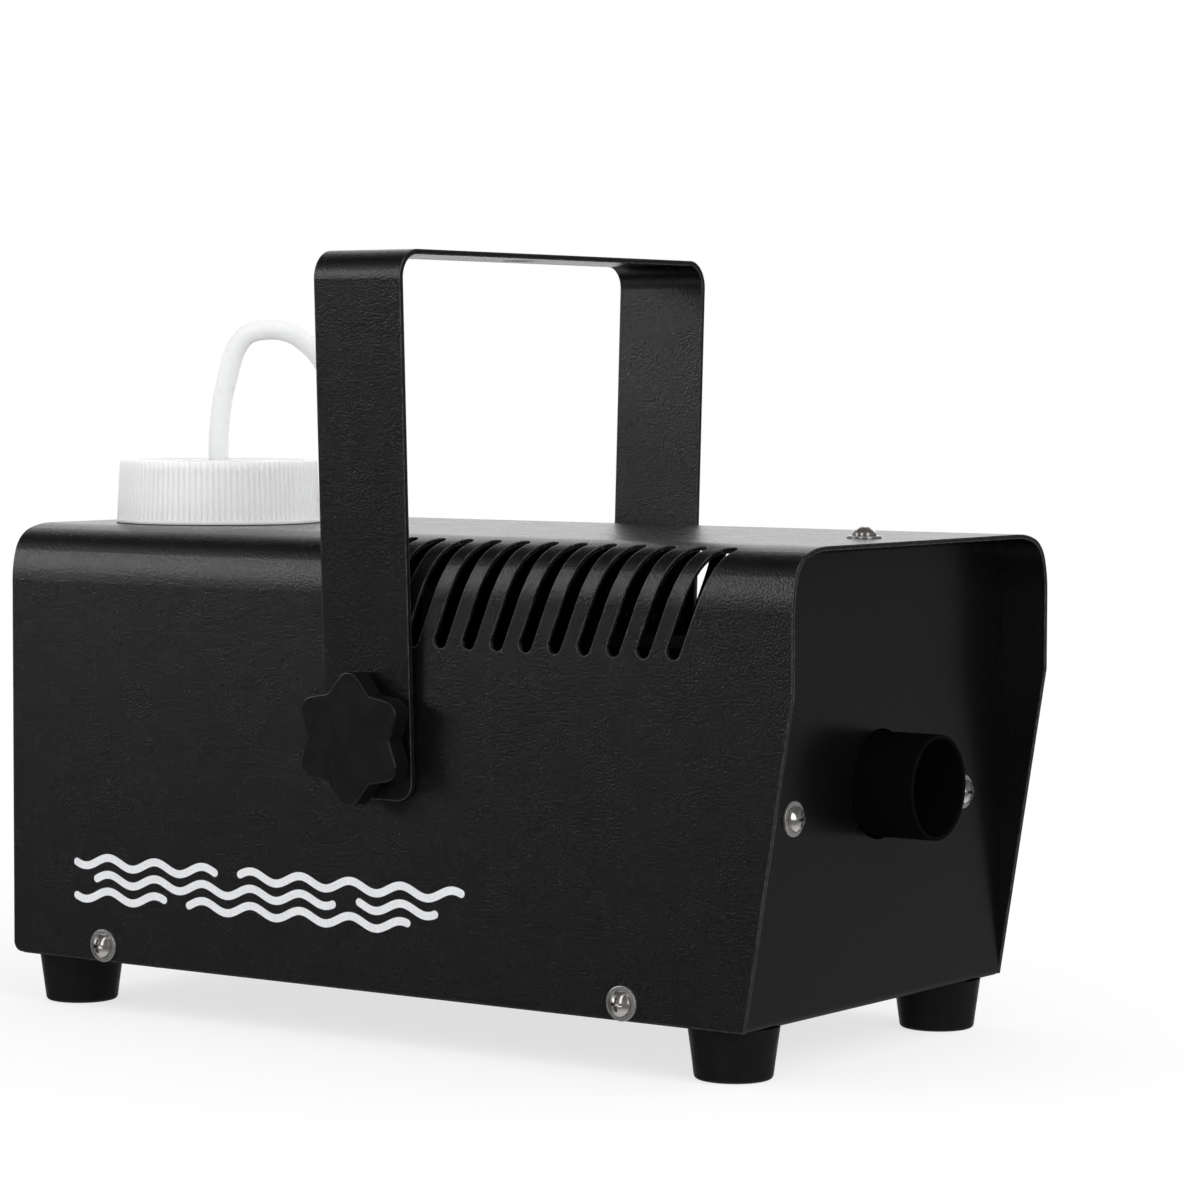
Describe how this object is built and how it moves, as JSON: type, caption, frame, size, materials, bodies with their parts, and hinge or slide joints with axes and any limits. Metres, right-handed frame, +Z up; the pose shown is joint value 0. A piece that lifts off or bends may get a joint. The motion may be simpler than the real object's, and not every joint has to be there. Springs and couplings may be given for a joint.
{
  "type": "fog machine",
  "caption": "Small electric fog machine: black sheet-steel box with vent slots, front nozzle, tilting strap handle on star knobs, ribbed bottle cap with suction tube, and rubber feet.",
  "frame": {"origin": "on the floor under the middle of the machine, below the handle pivots", "axes": "+Z up; -Y is the front, where the nozzle points; +X is the side away from the bottle cap"},
  "size_m": [0.1308, 0.235, 0.1834],
  "materials": {
    "black_coat": "fine-grained satin powder coat",
    "black_enamel": "matt heat-resistant black",
    "black_rubber": "moulded, matt",
    "black_plastic": "moulded, fine texture",
    "black_nylon": "plain",
    "green_plastic": "moulded",
    "blue_plastic": "moulded",
    "red_plastic": "moulded",
    "lamp_red": "translucent lens",
    "coil_plastic": "overmoulded coil",
    "milky_plastic": "translucent polypropylene",
    "milky_silicone": "translucent silicone",
    "seal_foam": "foam liner",
    "nickel": "bright nickel plate",
    "zinc_steel": "zinc plated",
    "brass": "turned",
    "cast_aluminium": "die cast",
    "glass_fibre": "woven glass-fibre blanket",
    "board_green": "solder-masked glass-epoxy board",
    "fuse_glass": "glass tube fuse",
    "wire_brown": "insulated wire",
    "wire_blue": "insulated wire",
    "wire_green": "insulated wire"
  },
  "bodies": {
    "base": {"board_standoffs": "brass", "bottle_cradle": "zinc_steel", "bracket_screws": "nickel", "casing_screws": "nickel", "casing_washers": "nickel", "chassis": "black_coat", "control_board": "board_green", "fluid_bottle": "milky_plastic", "foot_screws": "nickel", "front_bracket": "zinc_steel", "heat_shield": "black_enamel", "heater_block": "cast_aluminium", "heating_element": "zinc_steel", "indicator_lamp": "lamp_red", "inlet_fitting": "brass", "inlet_pins": "nickel", "insulation_wrap": "glass_fibre", "intake_tube": "milky_silicone", "m3_nuts": "nickel", "mains_transformer": "coil_plastic", "nozzle_shroud": "black_enamel", "nozzle_tip": "brass", "outlet_tube": "milky_silicone", "pivot_nuts": "zinc_steel", "pivot_washers": "black_nylon", "power_inlet": "black_plastic", "pump_body": "brass", "pump_bracket": "zinc_steel", "pump_coil": "coil_plastic", "pump_inlet": "black_plastic", "pump_mounts": "black_rubber", "pump_spring": "zinc_steel", "pump_yoke": "zinc_steel", "rear_bracket": "zinc_steel", "relay": "blue_plastic", "remote_contacts": "brass", "remote_nut": "nickel", "remote_socket": "nickel", "rubber_feet": "black_rubber", "switch_body": "black_plastic", "terminal_block": "green_plastic", "thermal_fuse": "zinc_steel", "thermostat": "cast_aluminium", "top_cover": "black_coat", "tube_filter": "zinc_steel", "tube_grommet": "black_rubber", "wire_earth": "wire_green", "wires_blue": "wire_blue", "wires_brown": "wire_brown"},
    "handle": {"handle_bracket": "black_coat"},
    "knob_left_turn": {"knob_left": "black_plastic", "knob_stud_left": "zinc_steel"},
    "knob_right_turn": {"knob_right": "black_plastic", "knob_stud_right": "zinc_steel"},
    "cap_liner": {"cap_seal": "seal_foam"},
    "cap": {"bottle_cap": "milky_plastic"},
    "plunger": {"pump_plunger": "zinc_steel"},
    "rocker": {"switch_rocker": "red_plastic"},
    "drawer": {"fuse_drawer": "black_plastic", "mains_fuse": "fuse_glass"}
  },
  "joints": [
    {"name": "handle_tilt", "type": "hinge", "parent": "base", "child": "handle", "pos_m": [0, 0.0005, 0.0717], "axis": [1, 0, 0], "range_deg": [-20, 55]},
    {"name": "knob_left_spin", "type": "hinge", "parent": "base", "child": "knob_left_turn", "pos_m": [-0.0615, 0.0005, 0.0717], "axis": [-1, 0, 0], "range_deg": [0, 360]},
    {"name": "knob_right_spin", "type": "hinge", "parent": "base", "child": "knob_right_turn", "pos_m": [0.0615, 0.0005, 0.0717], "axis": [1, 0, 0], "range_deg": [0, 360]},
    {"name": "cap_lift", "type": "slide", "parent": "base", "child": "cap_liner", "axis": [0, 0, 1], "range_m": [0, 0.003]},
    {"name": "cap_turn", "type": "hinge", "parent": "cap_liner", "child": "cap", "pos_m": [-0.016, 0.0813, 0.126], "axis": [0, 0, 1], "range_deg": [0, 360]},
    {"name": "pump_stroke", "type": "slide", "parent": "base", "child": "plunger", "axis": [0, 0, -1], "range_m": [0, 0.004], "stiffness_N_per_m": 200, "deforming": ["pump_spring"]},
    {"name": "switch_rock", "type": "hinge", "parent": "base", "child": "rocker", "pos_m": [0.036, 0.1105, 0.086], "axis": [-1, 0, 0], "range_deg": [0, 22]},
    {"name": "fuse_drawer_slide", "type": "slide", "parent": "base", "child": "drawer", "axis": [0, 1, 0], "range_m": [0, 0.02]}
  ],
  "couplings": [
    {"joint": "cap_lift", "follows": "cap_turn", "m_per_rad": 0.00047742}
  ]
}
